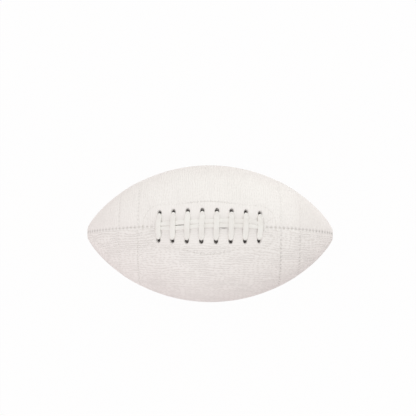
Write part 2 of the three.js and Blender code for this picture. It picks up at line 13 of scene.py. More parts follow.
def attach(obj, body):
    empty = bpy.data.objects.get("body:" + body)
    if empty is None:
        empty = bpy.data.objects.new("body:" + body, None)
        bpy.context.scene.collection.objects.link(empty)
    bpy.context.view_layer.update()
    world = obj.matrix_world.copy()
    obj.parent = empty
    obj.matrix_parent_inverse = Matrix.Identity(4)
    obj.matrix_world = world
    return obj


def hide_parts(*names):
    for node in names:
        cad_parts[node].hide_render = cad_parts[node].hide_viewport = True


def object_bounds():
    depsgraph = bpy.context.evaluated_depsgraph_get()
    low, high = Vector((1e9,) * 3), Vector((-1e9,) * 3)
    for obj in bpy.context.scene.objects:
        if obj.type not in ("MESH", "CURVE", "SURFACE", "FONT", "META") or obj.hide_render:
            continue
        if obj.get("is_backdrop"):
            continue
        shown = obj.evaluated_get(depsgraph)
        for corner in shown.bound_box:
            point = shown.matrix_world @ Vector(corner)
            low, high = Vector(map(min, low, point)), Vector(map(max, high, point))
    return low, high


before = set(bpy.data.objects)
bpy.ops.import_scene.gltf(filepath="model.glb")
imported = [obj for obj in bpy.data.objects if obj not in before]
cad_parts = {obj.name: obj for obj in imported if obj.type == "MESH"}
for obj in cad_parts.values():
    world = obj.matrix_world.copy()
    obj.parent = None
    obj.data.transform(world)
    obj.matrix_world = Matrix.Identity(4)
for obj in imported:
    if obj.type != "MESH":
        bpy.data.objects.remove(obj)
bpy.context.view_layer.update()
scene = bpy.context.scene
MM = 0.001
QUARTER = math.pi / 2

# Ball, as in the frame
BALL_LENGTH = 280.0
BALL_DIAMETER = 156.0
OUTLINE_POWER = 0.73
TIP_DIAMETER = 15.7
TIP_CAP = 1.0
TIP_THICKENING = 1.5
LEATHER = 2.0
FIT = 0.3

# Lacing, as in the frame
CROSSES = 8
HOLE_PITCH = 15.8
HOLE_ROW = 16.6
HOLE_RADIUS = 3.0
LACE_WIDTH = 5.0
ROLLED_WIDTH = 2.8
ROLLED_THICKNESS = 2.0
SLIT_WIDTH = 3.8
TUCK_LENGTH = 12.0
STRAND_DRIFT = 3.0
DRIFT_LENGTH = 70.0
LACING_DIP = 2.0
DIP_FADE = 30.0
FACING_INSIDE = 4.6

# Lacing, finer than in the frame
LACE_THICKNESS = 1.05
LACE_EDGE = 0.2  # height of its thin edges, as a share of the thickness
LACE_FIT = 0.05
BEND = 1.2
CROSS_WIDTH = 6.0
CROSS_SAG = 0.3  # how far a cross sinks beside the strands
CROSS_LIP = 0.85  # height of a cross where it bends into its hole
LIP_SPREAD = 0.6  # how far it is unrolled there
LYING_SHARE = 0.6  # where it comes to lie down, from the strands to its hole
END_CROSS_BOW = 0.5
STRAND_GAP = 0.1
GAP_OPENING = 0.65  # added to that gap behind the second cross
GAP_REACH = 7.0
HOLE_PULLED = (2.3, 3.0)  # half the size of a hole along and round the ball
HOLE_SLANT = 0.4
HOLE_OUTWARD = 0.4
RIM_ROUND = 0.7
RIM_SINK = 0.5
# Painted shade, with some dirt, on the rolled rims of the lace holes
RIM_SHADE = 0.2
SLIT_GAPE = 1.1
GAPE_REACH = 4.0
SLIT_CLOSING = 4.0
LACING_CALM = 9.0
# Painted shade on the leather under and between the laces
LACING_SHADE = 0.04

# Panels
CAP_END_ANGLE = 86.0
TURNED_IN = 3.3  # thickness at a seam, where the edge is turned in
TURNED_WIDTH = 2.0
TURNED_FADE = 0.6
LEAST_RADIUS = 0.05
LEAST_FAR = 1e-6
WIDEST_EDGE = 0.2  # limit of the gap at a seam, as an angle
# Painted shade on a panel's inner side, seen down its holes and slits
PANEL_INNER_SHADE = 0.12

# Seams
SEAM_PITCH = 5.1
SEAM_DEPTH = 0.15
SEAM_HALF_WIDTH = 1.8
SEAM_GAP = 0.06
SEAM_PIT_DEPTH = 1.0
SEAM_PIT_RADII = (1.45, 1.8)
# Painted shade, with some dirt, in the seams' needle pits, by place along the ball
SEAM_SHADE_PLACES = (-140, -105, -60, 60, 105, 140)
SEAM_SOIL_AND_SHADE = (0.36, 0.22, 0.19, 0.26, 0.28, 0.46)
SEAM_STITCH = 2.8
SEAM_STITCH_DROP = 0.2
SEAM_THREAD = 0.7
SEAM_CALM = (1.0, 3.0)  # width and fade
SEAM_FROM_SLIT = 5.5
SEAM_FROM_TIP = 3.5

# Rows of stitches on the facing and the stripes
STITCH_TIP = 0.05
ROW_THREAD = 0.6
ROW_STITCH_DROP = 0.6
ROW_GROOVE_WIDTH = 0.7
ROW_PIT_DEPTH = 0.6
ROW_REACH = 4.0
# In these rows the darkness of the needle holes is painted shade and dirt.
FACING_ROW = {"pitch": 3.6, "stitch": 2.2, "pit": 0.85, "soil": 0.2, "groove": 0.08}
FACING_STITCH_HEIGHT = -0.2
FACING_FAINT = 0.2  # what shows of the facing's row away from the middle
FACING_CLEAR = (18.0, 14.0)  # width and fade
FACING_ENDS = 0.45  # what shows of it beyond the slit
FACING_ENDS_FADE = 6.0
FACING_END = 72.5
FACING_SIDE = 24.0
FACING_BULGE = {1: 3.4, -1: 7.2}
BULGE_REACH = 44.0
BRANCH_START = (57.5, 2.8)  # along and round the ball
BRANCH_RUN = (12.0, 8.0)
STRIPE_ROW = {"pitch": 5.0, "stitch": 2.6, "pit": 1.25, "soil": 0.35, "groove": 0.1}
STRIPE_ROW_STRENGTH = (1.0, 0.8)
STRIPE_ROW_END = 3.0
STRIPE_SEWN = 1.3

# Stripes
STRIPE_FROM_TIP = 51.2
STRIPE_WIDTH = 24.4
STRIPE_THICKNESS = 0.35
STRIPE_EDGE = 0.06
STRIPE_SKIVE = 2.4
STRIPE_OFF_SEAM = 0.3
STRIPE_END_THINNING = 0.5
STRIPE_END_FADE = 2.5
STRIPE_ROOT = 1.0
# Painted shade, with some dirt, in the needle holes of each stripe's rows, by hand and end
STRIPE_ROW_SHADE = {(1, 1): 0.2, (1, -1): 0.4, (-1, 1): 0.95, (-1, -1): 0.4}
STRIPE_SUNK = {1: 0.5, -1: 1.0}
# How strongly a stripe's rows show along them, in relief and in painted shade
STRIPE_SHOWING_PLACES = {1: (0.0, 0.4, 0.75, 1.0), -1: (0.0, 0.35, 0.75, 1.0)}
STRIPE_SHOWING = {1: (1.2, 1.1, 0.4, 0.2), -1: (0.5, 1.1, 1.0, 0.3)}
UNDER_STRIPE = 0.7  # how far a panel is pressed in under a stripe
UNDER_STRIPE_INSET = 1.1
UNDER_STRIPE_FADE = 0.7
UNDER_STRIPE_ENDS = (0.5, 1.0)

# Pebbles of the grain, along and round the ball, and where a piece is cut from the hide
PEBBLES = {"left": (2.4, 5.0), "right": (5.4, 2.5)}
HIDE_STEP = 100.0
HIDE_LENGTH = 977

# Valve
VALVE_ANGLE = math.radians(215.0)
VALVE_STEM_RADIUS = 3.6
VALVE_BORE_RADIUS = 2.3
VALVE_SINK = 0.6
VALVE_LENGTH = 13.0
VALVE_HOLE_RADIUS = 3.9
VALVE_MARGIN = 1.0
VALVE_ROUND = 0.3
VALVE_SHOULDER = 0.08
VALVE_OUTER_ROUND = (0.1, 0.3)
VALVE_INNER_ROUND = (0.06, 0.25)
PLUG_SINK = 0.3
PLUG_BEVEL = (0.15, 0.2)
NEEDLE_RADIUS = 0.7
NEEDLE_FUNNEL = 0.6
NEEDLE_DEPTH = 4.3
NEEDLE_TIP = 0.3
NEEDLE_TAPER = 0.6

# Fineness of the meshes
OUTLINE_STEPS = 4001
CAP_STEPS = 40
GRADING_STEPS = 2001
FACING_STEPS = 400
BRANCH_STEPS = 60
STRIPE_ROW_STEPS = 300
STRIPE_GRID = (61, 201)
ROWS_PER_STITCH = 6
HOLE_CELL = 0.63
SEAM_CELL = 0.4
CELL_GROWTH = 1.5
HOLE_BAND = (34.0, 22.0)  # width and fade of the fine cells
NEAR_SEAM_BAND = (2.5, 10.0)
FAR_SEAM_BAND = (2.5, 12.0)
BACK_SEAM_BAND = (2.5, 14.0)
NEAREST_CHUNK = 2000
STITCH_RINGS = 9
STITCH_SIDES = 8
LACE_STEPS = 4
LACE_SIDES = 20
VALVE_SIDES = 48

HALF_LENGTH = BALL_LENGTH / 2
BELLY = BALL_DIAMETER / 2
CAP_START = HALF_LENGTH - TIP_CAP
TIP_SHARE = (TIP_DIAMETER / BALL_DIAMETER) ** (1 / OUTLINE_POWER)
POINTED_END = CAP_START / math.sqrt(1 - TIP_SHARE)
STRIPE_NEAR = HALF_LENGTH - STRIPE_FROM_TIP - STRIPE_WIDTH / 2
STRIPE_FAR = STRIPE_NEAR + STRIPE_WIDTH


def outline_radius(x):
    return BELLY * np.maximum(1 - (x / POINTED_END) ** 2, 0) ** OUTLINE_POWER


def outline_slope(x):
    share = 1 - (x / POINTED_END) ** 2
    return -2 * OUTLINE_POWER * BELLY * x * share ** (OUTLINE_POWER - 1) / POINTED_END**2


def meridian_table():
    """Distance along the outline from the middle of the ball, with the place and the radius there."""
    main = np.linspace(-CAP_START, CAP_START, OUTLINE_STEPS)
    round_cap = np.radians(np.linspace(0, CAP_END_ANGLE, CAP_STEPS))[1:]
    cap_x = CAP_START + TIP_CAP * np.sin(round_cap)
    cap_r = TIP_DIAMETER / 2 * np.cos(round_cap)
    x = np.concatenate([-cap_x[::-1], main, cap_x])
    r = np.concatenate([cap_r[::-1], outline_radius(main), cap_r])
    along = np.concatenate([[0], np.cumsum(np.hypot(np.diff(x), np.diff(r)))])
    return along - along[-1] / 2, x, r


ALONG, ALONG_X, ALONG_R = meridian_table()


def place_at(distance):
    return np.interp(distance, ALONG, ALONG_X)


def distance_at(x):
    return np.interp(x, ALONG_X, ALONG)


CROSS_PLACES = place_at((np.arange(CROSSES) - (CROSSES - 1) / 2) * HOLE_PITCH)
SLIT_END = CROSS_PLACES[-1]
LAST_ROW = ALONG[-1]
SEAM_START = distance_at(SLIT_END) + SEAM_FROM_SLIT
SEAM_STOP = LAST_ROW - SEAM_FROM_TIP


def hole_row_at(x):
    return HOLE_ROW * outline_radius(x) / BELLY


def hole_edge_at(x):
    """Distance from the lace seam to the near rim of a hole."""
    return hole_row_at(x) - HOLE_RADIUS + HOLE_OUTWARD


def fade_out(value, start, length):
    """1 up to start on both sides of 0, then falling smoothly to 0 over length."""
    share = np.clip((np.abs(value) - start) / length, 0, 1)
    return 1 - share * share * (3 - 2 * share)


def bell(value, width):
    return np.exp(-((value / width) ** 2))


def lacing_dip(x, side):
    return LACING_DIP * fade_out(x, SLIT_END, DIP_FADE) * fade_out(side, 0, DIP_FADE)


def polar(x, radius, angle):
    return np.stack(np.broadcast_arrays(x, radius * np.sin(angle), radius * np.cos(angle)), -1)


def surface_point(x, side, height):
    """A point by its place along the ball, its distance round from the lace seam and its height."""
    radius = outline_radius(x)
    slope = outline_slope(x)
    upright = height / np.hypot(1, slope)
    return polar(x - upright * slope, radius - lacing_dip(x, side) + upright, side / radius)


def unit(vectors):
    return vectors / np.linalg.norm(vectors, axis=-1, keepdims=True)


def surface_axes(x, side):
    """Directions out of the skin, round the ball and along it."""
    nudge = 0.01
    up = unit(surface_point(x, side, 1) - surface_point(x, side, 0))
    across = unit(surface_point(x, side + nudge, 0) - surface_point(x, side - nudge, 0))
    return up, across, np.cross(across, up)


def stitch_near(distance):
    """The middle of the nearest stitch of a seam."""
    return (np.floor(distance / SEAM_PITCH) + 0.5) * SEAM_PITCH


def seam_marks(distance, radius, off):
    """How far the skin sinks at an angle off a seam, and how near it is to a stitch, 1 on the stitch."""
    off_seam = radius * np.sin(off)
    fade = np.clip(radius / (2 * SEAM_HALF_WIDTH), 0, 1)
    away = np.clip(off_seam / SEAM_HALF_WIDTH, 0, 1)
    off_pit = distance - stitch_near(distance)
    pits = np.exp(-((off_pit / SEAM_PIT_RADII[0]) ** 2) - (off_seam / SEAM_PIT_RADII[1]) ** 2)
    return fade * SEAM_DEPTH * (1 - away) ** 2, pits


def seam_soil(x):
    return np.interp(x, SEAM_SHADE_PLACES, SEAM_SOIL_AND_SHADE)


# Mesh making
def add_mesh(name, points, faces, sharp_angle=50.0, **layers):
    """An object from points in millimetres. Of its layers, soil says how dirty a point is and how much
    painted shade it has, and on the lace how raw it is, calm how flat the grain is drawn there, both from 0
    to 1, and grain where it lies on the hide, in pebbles."""
    mesh = bpy.data.meshes.new(name)
    mesh.from_pydata((np.asarray(points) * MM).tolist(), [], [list(face) for face in faces])
    mesh.shade_smooth()
    mesh.set_sharp_from_angle(angle=math.radians(sharp_angle))
    for title, values in layers.items():
        kind, field = ("FLOAT", "value") if values.ndim == 1 else ("FLOAT_VECTOR", "vector")
        attribute = mesh.attributes.new(title, kind, "POINT")
        attribute.data.foreach_set(field, values.astype(np.float32).ravel())
    piece = bpy.data.objects.new(name, mesh)
    scene.collection.objects.link(piece)
    return piece


def shell(name, grids, flipped, inner_soil):
    """A closed shell between two grids of points; the grid keep says which of its cells are there."""
    outer, inner, keep, soil, grain, calm = (grid[:, ::-1] if flipped else grid for grid in grids)
    rows, columns = outer.shape[:2]
    count = rows * columns
    ids = np.arange(count).reshape(rows, columns)
    corners = np.stack([ids[:-1, :-1], ids[1:, :-1], ids[1:, 1:], ids[:-1, 1:]], -1)
    padded = np.pad(keep, 1)
    faces = [corners[keep], corners[keep][:, ::-1] + count]
    neighbours = (padded[1:-1, :-2], padded[2:, 1:-1], padded[1:-1, 2:], padded[:-2, 1:-1])
    for i, neighbour in enumerate(neighbours):
        rim = corners[keep & ~neighbour]
        a, b = rim[:, i], rim[:, (i + 1) % 4]
        faces.append(np.stack([b, a, a + count, b + count], -1))
    faces = np.concatenate(faces)
    points = np.concatenate([outer.reshape(-1, 3), inner.reshape(-1, 3)])
    used, faces = np.unique(faces, return_inverse=True)
    # The inner side is darkened with painted shade, seen down the holes.
    soil = np.concatenate([soil.ravel(), np.full(count, inner_soil)])
    grain = np.tile(grain.reshape(-1, 3), (2, 1))
    calm = np.tile(calm.ravel(), 2)
    layers = {"soil": soil[used], "grain": grain[used], "calm": calm[used]}
    return add_mesh(name, points[used], faces.reshape(-1, 4), **layers)


def tube_faces(rings, sides, tubes=1):
    """Faces of some tubes of rings, closed at both ends."""
    faces = []
    for here in np.arange(tubes * rings * sides).reshape(tubes, rings, sides):
        after = np.roll(here, -1, axis=1)
        quads = np.stack([here[:-1], after[:-1], after[1:], here[1:]], -1)
        faces += [*quads.reshape(-1, 4), here[0][::-1], here[-1]]
    return faces


def pebbles(name, distance, side):
    """Where points lie on the hide, counted in pebbles; each piece is cut from another place of it."""
    along, across = PEBBLES["left" if "left" in name else "right"]
    corner = HIDE_STEP * sum(map(ord, name)) % HIDE_LENGTH
    return np.stack(np.broadcast_arrays(distance / along + corner, side / across, 0.0), -1)


def graded(length, spacing_at):
    """Places from 0 to length whose spacing changes smoothly."""
    fine = np.linspace(0, length, GRADING_STEPS)
    density = 1 / spacing_at(fine)
    count = np.concatenate([[0], np.cumsum((density[1:] + density[:-1]) / 2 * np.diff(fine))])
    return np.interp(np.linspace(0, count[-1], math.ceil(count[-1]) + 1), count, fine)


# Rows of stitches, as paths of places along the ball and distances round from the lace seam
def facing_path(hand):
    turn = np.linspace(0, math.pi, FACING_STEPS)
    x = -FACING_END * np.cos(turn)
    bulge = FACING_BULGE[hand] * np.cos(np.clip(np.abs(x) / BULGE_REACH, 0, 1) * QUARTER) ** 2
    beyond = np.clip((np.abs(x) - SLIT_END) / (FACING_END - SLIT_END), 0, 1)
    side = (FACING_SIDE + bulge) * np.sqrt(1 - beyond**2)
    return x, hand * side


def branch_path(end, hand):
    """A short row beside the seam, from the end of the slit outwards."""
    share = np.linspace(0, 1, BRANCH_STEPS)
    x, side = (start + run * share for start, run in zip(BRANCH_START, BRANCH_RUN))
    return end * x, hand * side


def facing_paths(hand):
    return [facing_path(hand), branch_path(1, hand), branch_path(-1, hand)]


def stripe_paths(hand, end):
    paths = []
    for x in (STRIPE_NEAR + STRIPE_SEWN, STRIPE_FAR - STRIPE_SEWN):
        reach = outline_radius(x) * QUARTER
        side = np.linspace(STRIPE_ROW_END, reach - STRIPE_ROW_END, STRIPE_ROW_STEPS)
        paths.append((np.full_like(side, end * x), hand * side))
    return paths


def path_points(path):
    x, side = path
    return surface_point(x, side, 0.0)


def nearest(points, path):
    """Distance from each point to the nearest point of a path."""
    flat = points.reshape(-1, 3)
    best = np.full(len(flat), np.inf)
    for chunk in np.array_split(np.arange(len(flat)), max(1, len(flat) // NEAREST_CHUNK)):
        gaps = flat[chunk][:, None] - path
        best[chunk] = np.sqrt((gaps**2).sum(-1)).min(1)
    return best.reshape(points.shape[:-1])


def evenly(path, pitch, offset):
    """Places at an even pitch along a path, the first one at offset times the pitch."""
    x, side = path
    run = np.linalg.norm(np.diff(path_points(path), axis=0), axis=1)
    run = np.concatenate([[0], np.cumsum(run)])
    count = round(run[-1] / pitch)
    at = np.arange(offset, count, 1) * run[-1] / count
    return np.interp(at, run, x), np.interp(at, run, side)


def sewn_row(skin, path, row):
    """How far the skin sinks along a row of stitches, and the painted shade and dirt of its needle holes.
    """
    groove = bell(nearest(skin, path_points(path)), ROW_GROOVE_WIDTH)
    needle_holes = path_points(evenly(path, row["pitch"], offset=0.0))
    pits = bell(nearest(skin, needle_holes), row["pit"])
    return row["groove"] * groove + ROW_PIT_DEPTH * pits, row["soil"] * pits


# Panels
def panel_rows():
    row_step = SEAM_PITCH / ROWS_PER_STITCH
    steps = int(LAST_ROW / row_step)
    inner = np.arange(-steps, steps + 1) * row_step
    return np.concatenate([[-LAST_ROW], inner, [LAST_ROW]])


def coarser(cell, distance, band):
    """Cells that are fine near a line and grow with the distance from it."""
    return cell + CELL_GROWTH * (1 - fade_out(distance, *band))


def lace_spacing(side):
    growing = coarser(HOLE_CELL, side, HOLE_BAND)
    far_seam = coarser(SEAM_CELL, QUARTER * BELLY - side, FAR_SEAM_BAND)
    near_seam = coarser(SEAM_CELL, side, NEAR_SEAM_BAND)
    return np.minimum(np.minimum(growing, far_seam), near_seam)


def back_spacing(side):
    return coarser(SEAM_CELL, np.minimum(side, QUARTER * BELLY - side), BACK_SEAM_BAND)


def punch(x, side, keep, centre_x, centre_side, radii):
    """Cuts an oval hole into a grid and draws the rim on to it. Gives distances, 1 on the oval."""
    stretch = np.hypot(1, outline_slope(centre_x)) / radii[0]
    across_x = (x - centre_x) * stretch
    across_side = (side - centre_side) / radii[1]
    middle_x = (across_x[1:, 1:] + across_x[:-1, :-1]) / 2
    middle_side = (across_side[1:, 1:] + across_side[:-1, :-1]) / 2
    cut = np.hypot(middle_x, middle_side) < 1
    keep &= ~cut
    padded = np.pad(cut, 1)
    touching = padded[1:, 1:] | padded[:-1, 1:] | padded[1:, :-1] | padded[:-1, :-1]
    inside = padded[1:, 1:] & padded[:-1, 1:] & padded[1:, :-1] & padded[:-1, :-1]
    rim = touching & ~inside
    far = np.maximum(np.hypot(across_x, across_side), LEAST_FAR)
    x[rim] = centre_x + (across_x / far)[rim] / stretch
    side[rim] = centre_side + (across_side / far)[rim] * radii[1]
    return far


def punch_lace_holes(x, side, keep, hand):
    """Cuts the lace holes of a panel. Gives how far their rolled rims sink and how much painted shade and
    dirt darkens them.
    """
    sink, soil = np.zeros(x.shape), np.zeros(x.shape)
    for place in CROSS_PLACES:
        hole_side = hole_edge_at(place) + HOLE_PULLED[1]
        far = punch(x, side, keep, place + hand * HOLE_SLANT, hole_side, HOLE_PULLED)
        rolled_rim = bell((np.maximum(far, 1) - 1) * HOLE_RADIUS, RIM_ROUND)
        sink += RIM_SINK * rolled_rim
        # The rolled rims are darkened with painted shade and some dirt.
        soil = np.maximum(soil, RIM_SHADE * rolled_rim)
    return sink, soil


def sew_facing(x, side, radius, hand, sink, soil):
    """Adds the facing's rows of stitches to what sinks a panel and darkens it with painted shade and dirt.
    """
    near = (np.abs(x) < FACING_END + ROW_REACH) & (side < FACING_SIDE + FACING_BULGE[hand] + ROW_REACH)
    skin = polar(x[near], (radius - lacing_dip(x, side))[near], hand * (side / radius)[near])
    visible = FACING_FAINT + (1 - FACING_FAINT) * fade_out(x[near], *FACING_CLEAR)
    visible = np.maximum(visible, FACING_ENDS * (1 - fade_out(x[near], SLIT_END, FACING_ENDS_FADE)))
    for path in facing_paths(hand):
        row_sink, row_soil = sewn_row(skin, path, FACING_ROW)
        sink[near] = np.maximum(sink[near], row_sink * visible)
        # Painted shade and dirt in the needle holes of the facing's rows.
        soil[near] = np.maximum(soil[near], row_soil * visible)


def punch_valve(x, radius, turned, keep):
    """The round hole for the valve stem."""
    side = (turned - VALVE_ANGLE) * BELLY
    punch(x, side, keep, 0.0, 0.0, (VALVE_HOLE_RADIUS, VALVE_HOLE_RADIUS))
    turned[:] = VALVE_ANGLE + side / BELLY
    radius[:] = np.where(np.abs(x) < VALVE_HOLE_RADIUS + VALVE_MARGIN, outline_radius(x), radius)


def slit_edge(x, hand):
    """Distance of a lace panel's edge from the lace seam; on the right it gapes past the fifth cross."""
    middle = (CROSS_PLACES[4] + CROSS_PLACES[5]) / 2
    gape = SLIT_GAPE * bell(x - middle, GAPE_REACH) if hand < 0 else 0
    return SEAM_GAP / 2 + (SLIT_WIDTH - SEAM_GAP) / 2 * fade_out(x, SLIT_END, SLIT_CLOSING) + gape


def panel(name, seam, hand):
    """A quarter of the ball, from a seam, counted in quarters, on the one way round or the other."""
    is_lace = seam == 0
    distance = panel_rows()[:, None]
    row_x = place_at(distance)
    row_r = np.interp(distance, ALONG, ALONG_R)
    columns = graded(QUARTER * BELLY, lace_spacing if is_lace else back_spacing)
    share = columns / columns[-1]
    first = (slit_edge(row_x, hand) if is_lace else SEAM_GAP / 2) / row_r
    last = SEAM_GAP / 2 / row_r
    first, last = (WIDEST_EDGE * np.tanh(edge / WIDEST_EDGE) for edge in (first, last))
    angle = first + (QUARTER - first - last) * share
    x, radius, distance = (np.broadcast_to(a, angle.shape).copy() for a in (row_x, row_r, distance))
    side = radius * angle
    keep = np.ones(np.subtract(x.shape, 1), bool)
    sink, soil = np.zeros(x.shape), np.zeros(x.shape)
    if is_lace:
        sink, soil = punch_lace_holes(x, side, keep, hand)
        faced = np.abs(x) < FACING_END
        radius[faced] = outline_radius(x[faced])
        angle = side / radius
        sew_facing(x, side, radius, hand, sink, soil)
    sewn_up = np.abs(stitch_near(distance)) > SEAM_START if is_lace else True
    for off, sewn in ((angle, sewn_up), (QUARTER - angle, True)):
        groove, pits = seam_marks(distance, radius, off)
        sink = sink + groove + SEAM_PIT_DEPTH * pits * sewn
        # Painted shade and dirt in the seam's needle pits.
        soil = np.maximum(soil, seam_soil(x) * pits * sewn)
    turned = seam * QUARTER + hand * angle
    if name == "back_panel_right_leather":
        punch_valve(x, radius, turned, keep)
    edge = np.minimum(angle, QUARTER - angle) * radius
    calm = fade_out(edge, *SEAM_CALM)
    dip = 0
    if is_lace:
        dip = lacing_dip(x, side)
        off_stripe = np.abs(x) - (STRIPE_NEAR + STRIPE_FAR) / 2
        under_stripe = fade_out(off_stripe, STRIPE_WIDTH / 2 - UNDER_STRIPE_INSET, UNDER_STRIPE_FADE)
        sink = sink + UNDER_STRIPE * under_stripe * (1 - fade_out(edge, *UNDER_STRIPE_ENDS))
        lacing = fade_out(x, SLIT_END, LACING_CALM)
        calm = np.maximum(calm, lacing * fade_out(radius * angle, HOLE_ROW, LACING_CALM))
        # Painted shade on the leather under and between the laces.
        soil = np.maximum(soil, LACING_SHADE * (lacing * fade_out(side, HOLE_ROW / 2, HOLE_ROW / 2)))
    depth = LEATHER + (TURNED_IN - LEATHER) * fade_out(edge, TURNED_WIDTH, TURNED_FADE)
    outer = polar(x, radius - dip - sink, turned)
    inner_x = x * (HALF_LENGTH - TIP_THICKENING * depth) / HALF_LENGTH
    inner_radius = np.maximum(radius * (BELLY - depth) / BELLY - dip, LEAST_RADIUS)
    inner = polar(inner_x, inner_radius, turned)
    grids = (outer, inner, keep, soil, pebbles(name, distance, radius * angle), calm)
    return shell(name, grids, flipped=hand < 0, inner_soil=PANEL_INNER_SHADE)


# Stripes
def stripe(name, hand, end):
    near, far = distance_at(STRIPE_NEAR), distance_at(STRIPE_FAR)
    along = np.linspace(near, far, STRIPE_GRID[0])[:, None]
    x = place_at(along)
    radius = outline_radius(x)
    share = np.linspace(0, 1, STRIPE_GRID[1])
    first = STRIPE_OFF_SEAM / radius
    angle = first + (QUARTER - 2 * first) * share
    edge = np.minimum(along - near, far - along)
    height = STRIPE_EDGE + (STRIPE_THICKNESS - STRIPE_EDGE) * (1 - fade_out(edge, 0, STRIPE_SKIVE))
    ends = np.minimum(share, 1 - share) * QUARTER * radius
    height = height * (1 - STRIPE_END_THINNING * fade_out(ends, 0, STRIPE_END_FADE))
    skin = radius - lacing_dip(x, radius * angle)
    sink, soil = np.zeros(angle.shape), np.zeros(angle.shape)
    showing = np.interp(share, STRIPE_SHOWING_PLACES[hand], STRIPE_SHOWING[hand])
    for path, strength in zip(stripe_paths(hand, end), STRIPE_ROW_STRENGTH):
        row_sink, row_soil = sewn_row(polar(end * x, skin, hand * angle), path, STRIPE_ROW)
        sink = np.maximum(sink, row_sink * strength * np.minimum(STRIPE_SUNK[hand] * showing, 1))
        # Painted shade and dirt in the needle holes of the stripe's rows.
        soil = np.maximum(soil, row_soil * strength * STRIPE_ROW_SHADE[hand, end] * showing)
    for off in (angle, QUARTER - angle):
        groove, pits = seam_marks(along, radius, off)
        skin = skin - groove - SEAM_PIT_DEPTH * pits
        # Painted shade and dirt in the seam's needle pits.
        soil = np.maximum(soil, seam_soil(end * x) * pits)
    outer = polar(end * x, skin + height - sink, hand * angle)
    inner = polar(end * x, skin - STRIPE_ROOT, hand * angle)
    keep = np.ones(np.subtract(angle.shape, 1), bool)
    calm = fade_out(ends, *SEAM_CALM)
    grids = (outer, inner, keep, soil, pebbles(name, along, radius * angle), calm)
    return shell(name, grids, flipped=hand * end < 0, inner_soil=0.0)


# Stitches
def stitch_mesh(name, middles, forwards, ups, length, thickness, drop):
    """Many stitches in one piece: each is a short, slimming thread that dives in by drop at both ends."""
    share = np.linspace(-1, 1, STITCH_RINGS)
    round_angle = np.arange(STITCH_SIDES) * 2 * math.pi / STITCH_SIDES
    swell = thickness / 2 * np.sqrt(np.maximum(1 - share**6, STITCH_TIP))
    across = np.cross(ups, forwards)
    centre = middles[:, None] + forwards[:, None] * (share * length / 2)[:, None]
    centre = centre - ups[:, None] * (drop * share**4)[:, None]
    ring = across[:, None] * np.cos(round_angle)[:, None] + ups[:, None] * np.sin(round_angle)[:, None]
    points = centre[:, :, None] + ring[:, None] * swell[:, None, None]
    faces = tube_faces(STITCH_RINGS, STITCH_SIDES, len(middles))
    return add_mesh(name, points.reshape(-1, 3), faces)


def seam_stitches(name, seam, low, high):
    """The stitches of one seam between two distances along the ball."""
    middle = stitch_near(np.arange(low, high + SEAM_PITCH, SEAM_PITCH))
    x = place_at(middle[(middle > low) & (middle < high)])
    side = outline_radius(x) * seam * QUARTER
    up, across, _ = surface_axes(x, side)
    points = surface_point(x, side, SEAM_THREAD / 3 - SEAM_DEPTH - SEAM_PIT_DEPTH)
    return stitch_mesh(name, points, across, up, SEAM_STITCH, SEAM_THREAD, SEAM_STITCH_DROP)


def row_stitches(name, paths, row, height):
    """The stitches of some rows, each halfway between two needle holes."""
    halfway, just_ahead = 0.5, 0.6
    middles, forwards, ups = [], [], []
    for path in paths:
        x, side = evenly(path, row["pitch"], halfway)
        ahead = evenly(path, row["pitch"], just_ahead)
        middles.append(surface_point(x, side, height))
        ups.append(surface_axes(x, side)[0])
        forwards.append(unit(surface_point(*ahead, height) - middles[-1]))
    middles, forwards, ups = (np.concatenate(part) for part in (middles, forwards, ups))
    return stitch_mesh(name, middles, forwards, ups, row["stitch"], ROW_THREAD, ROW_STITCH_DROP)


# Lace
STRAND_SIDE = (LACE_WIDTH + FIT) / 2
STRAND_HEIGHT = LACE_FIT + LACE_THICKNESS / 2
CROSS_HEIGHT = STRAND_HEIGHT + LACE_THICKNESS + LACE_FIT
ROLLED_SIDE = (ROLLED_WIDTH + FIT) / 2
SLIT_BEND_HEIGHT = STRAND_HEIGHT - BEND
INSIDE_RUN = FACING_INSIDE + BEND
FLAT = (LACE_WIDTH, LACE_THICKNESS)
FLAT_CROSS = (CROSS_WIDTH, LACE_THICKNESS)
ROLLED = (ROLLED_WIDTH, ROLLED_THICKNESS)
QUARTER_SHARES = (0.25, 0.5, 0.75)
CROSS_STATIONS = 5
OUTER_BEND_STEPS = 4
INNER_BEND_STEPS = 3
TOP_CURVE = (0.6, 0.8)  # powers of the section across and up: 1 is an ellipse, 0 a square
BOTTOM_CURVE = (0.35, 0.35)
RAW_FROM = 0.86  # where the raw edge starts, from the middle to the side
RAW_RAMP = 0.12


def between(start, finish, share):
    return tuple(a + (b - a) * share for a, b in zip(start, finish))


def station(x, side, height, turn, size):
    """A place on the lace's middle line. Its width lies along the ball at turn 0 and round it at turn 1."""
    return (x, side, height, turn, *size)


def quarter_bend(steps):
    """Shares of a quarter turn, each with its sine and its cosine."""
    shares = [i / steps for i in range(steps + 1)]
    return [(share, math.sin(share * QUARTER), math.cos(share * QUARTER)) for share in shares]


def drift_at(x):
    """The two long strands run askew: on the slit at the tail end, off to the left from the middle on."""
    return STRAND_DRIFT * (1 - fade_out(max(x + SLIT_END, 0), 0, DRIFT_LENGTH))


def strand_gap(x):
    """The gap between the two long strands, wider behind the second cross."""
    return STRAND_GAP + GAP_OPENING * bell(x - CROSS_PLACES[1] - HOLE_PITCH / 2, GAP_REACH)


def slanted(x, side):
    """The crosses slant a little: their left holes lie nearer the nose than their right ones."""
    return x + HOLE_SLANT * side / HOLE_ROW


